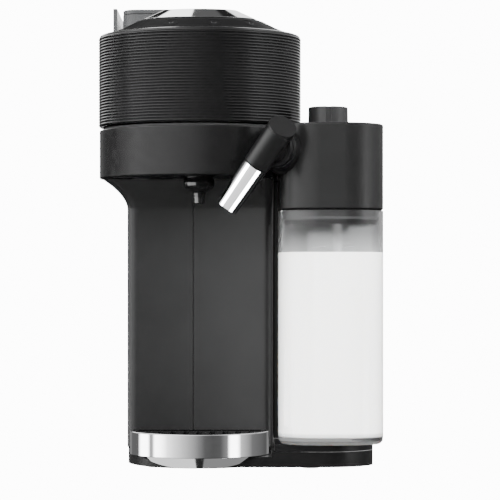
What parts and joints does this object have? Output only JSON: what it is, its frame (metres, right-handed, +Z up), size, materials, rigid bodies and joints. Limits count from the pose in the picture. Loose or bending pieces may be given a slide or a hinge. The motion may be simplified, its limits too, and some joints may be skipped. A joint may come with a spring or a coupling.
{
  "type": "pod coffee machine",
  "caption": "Pod coffee machine with a ribbed round head that tips open, a rear water tank, a pull-out drip tray and a clip-on clear milk jug with a swivelling spout.",
  "frame": {"origin": "centre of the footprint's bounding box, on the surface the feet stand on", "axes": "+Z up, +Y from the cup towards the rear, +X from the column towards the milk jug"},
  "size_m": [0.1976, 0.3998, 0.34],
  "materials": {
    "satin_black": "fine satin moulded black",
    "gloss_black": "glossy black",
    "dark_grey": "matt dark grey moulded",
    "rubber": "matt black rubber",
    "chrome": "polished chrome plate",
    "steel": "bright turned steel",
    "motor_steel": "plain metal can with windings inside",
    "cast_aluminium": "as cast",
    "inner_plastic": "plain moulded",
    "circuit": "green laminate",
    "clear_plastic": "clear polished",
    "smoked_plastic": "smoked translucent"
  },
  "bodies": {
    "root": {"base_plate": "satin_black", "shelf_cover": "satin_black", "column_left": "satin_black", "column_right": "satin_black", "dock_housing": "satin_black", "rear_deck": "satin_black", "rear_housing": "satin_black", "rear_cover": "satin_black", "tower_shell": "satin_black", "tower_cap": "satin_black", "lower_head_housing": "satin_black", "coffee_outlet": "gloss_black", "power_inlet": "gloss_black", "tank_seat": "dark_grey", "seat_ring": "dark_grey", "hinge_bracket": "dark_grey", "foot_1": "rubber", "foot_2": "rubber", "foot_3": "rubber", "foot_4": "rubber", "foot_5": "rubber", "foot_6": "rubber", "drive_belt": "rubber", "hinge_pin": "steel", "steam_port": "steel", "spin_motor": "motor_steel", "water_pump": "motor_steel", "steam_boiler": "motor_steel", "thermoblock": "cast_aluminium", "flow_meter": "inner_plastic", "supply_hose": "inner_plastic", "pressure_hose": "inner_plastic", "steam_hose": "inner_plastic", "circuit_board": "circuit"},
    "head": {"head_shell": "satin_black", "head_dome": "gloss_black", "brew_plate": "dark_grey", "piercing_needle": "steel", "hinge_arm": "dark_grey"},
    "lever": {"lock_lever": "chrome"},
    "button_1": {"drink_button_1": "gloss_black"},
    "button_2": {"drink_button_2": "gloss_black"},
    "button_3": {"drink_button_3": "gloss_black"},
    "capsule_drum": {"capsule_holder": "dark_grey"},
    "motor_drive": {"motor_pulley": "steel"},
    "drip_tray": {"drip_basin": "satin_black", "tray_front": "chrome"},
    "cup_grid": {"drip_grid": "satin_black"},
    "used_pod_drawer": {"capsule_container": "dark_grey"},
    "tank": {"water_tank": "smoked_plastic"},
    "tank_cover": {"tank_lid": "smoked_plastic"},
    "valve": {"tank_valve": "dark_grey"},
    "milk_unit": {"milk_jug": "clear_plastic", "milk_lid": "satin_black", "lid_seal": "rubber", "suction_tube": "inner_plastic"},
    "froth_dial": {"froth_knob": "dark_grey"},
    "milk_spout": {"spout_sleeve": "satin_black", "spout_nozzle": "chrome"}
  },
  "joints": [
    {"name": "head_tilt", "type": "hinge", "parent": "root", "child": "head", "pos_m": [-0.0278, -0.02813, 0.23], "axis": [-1, 0, 0], "range_deg": [0, 42]},
    {"name": "lever_turn", "type": "hinge", "parent": "head", "child": "lever", "pos_m": [-0.0278, -0.10813, 0.312], "axis": [0, -0.0523, 0.9986], "range_deg": [0, 35]},
    {"name": "button_1_press", "type": "slide", "parent": "head", "child": "button_1", "axis": [0.1528, 0.4253, -0.8921], "range_m": [0, 0.0015], "stiffness_N_per_m": 400},
    {"name": "button_2_press", "type": "slide", "parent": "head", "child": "button_2", "axis": [-0.0848, 0.4461, -0.891], "range_m": [0, 0.0015], "stiffness_N_per_m": 400},
    {"name": "button_3_press", "type": "slide", "parent": "head", "child": "button_3", "axis": [-0.2933, 0.3307, -0.897], "range_m": [0, 0.0015], "stiffness_N_per_m": 400},
    {"name": "drum_spin", "type": "hinge", "parent": "root", "child": "capsule_drum", "pos_m": [-0.0278, -0.10813, 0.21], "axis": [0, 0, 1], "continuous": true},
    {"name": "motor_spin", "type": "hinge", "parent": "root", "child": "motor_drive", "pos_m": [-0.0278, -0.05613, 0.21], "axis": [0, 0, 1], "continuous": true},
    {"name": "tray_slide", "type": "slide", "parent": "root", "child": "drip_tray", "axis": [0, -1, 0], "range_m": [0, 0.1]},
    {"name": "grid_lift", "type": "slide", "parent": "drip_tray", "child": "cup_grid", "axis": [0, 0, 1], "range_m": [0, 0.03]},
    {"name": "drawer_slide", "type": "slide", "parent": "root", "child": "used_pod_drawer", "axis": [-1, 0, 0], "range_m": [0, 0.095]},
    {"name": "tank_lift", "type": "slide", "parent": "root", "child": "tank", "axis": [0, 0, 1], "range_m": [0, 0.12]},
    {"name": "tank_lid_hinge", "type": "hinge", "parent": "tank", "child": "tank_cover", "pos_m": [-0.0493, 0.19247, 0.3372], "axis": [-1, 0, 0], "range_deg": [0, 95]},
    {"name": "valve_slide", "type": "slide", "parent": "tank", "child": "valve", "axis": [0, 0, 1], "range_m": [0, 0.003], "stiffness_N_per_m": 150},
    {"name": "milk_unit_slide", "type": "slide", "parent": "root", "child": "milk_unit", "axis": [0, -1, 0], "range_m": [0, 0.12]},
    {"name": "froth_turn", "type": "hinge", "parent": "milk_unit", "child": "froth_dial", "pos_m": [0.0615, -0.13413, 0.24], "axis": [0, 0, 1], "range_deg": [-80, 80]},
    {"name": "spout_swing", "type": "hinge", "parent": "milk_unit", "child": "milk_spout", "pos_m": [0.0198, -0.18763, 0.2189], "axis": [-0.4003, -0.9164, 0], "range_deg": [0, 50]}
  ],
  "couplings": [
    {"joint": "motor_spin", "follows": "drum_spin", "ratio": 3.75}
  ]
}
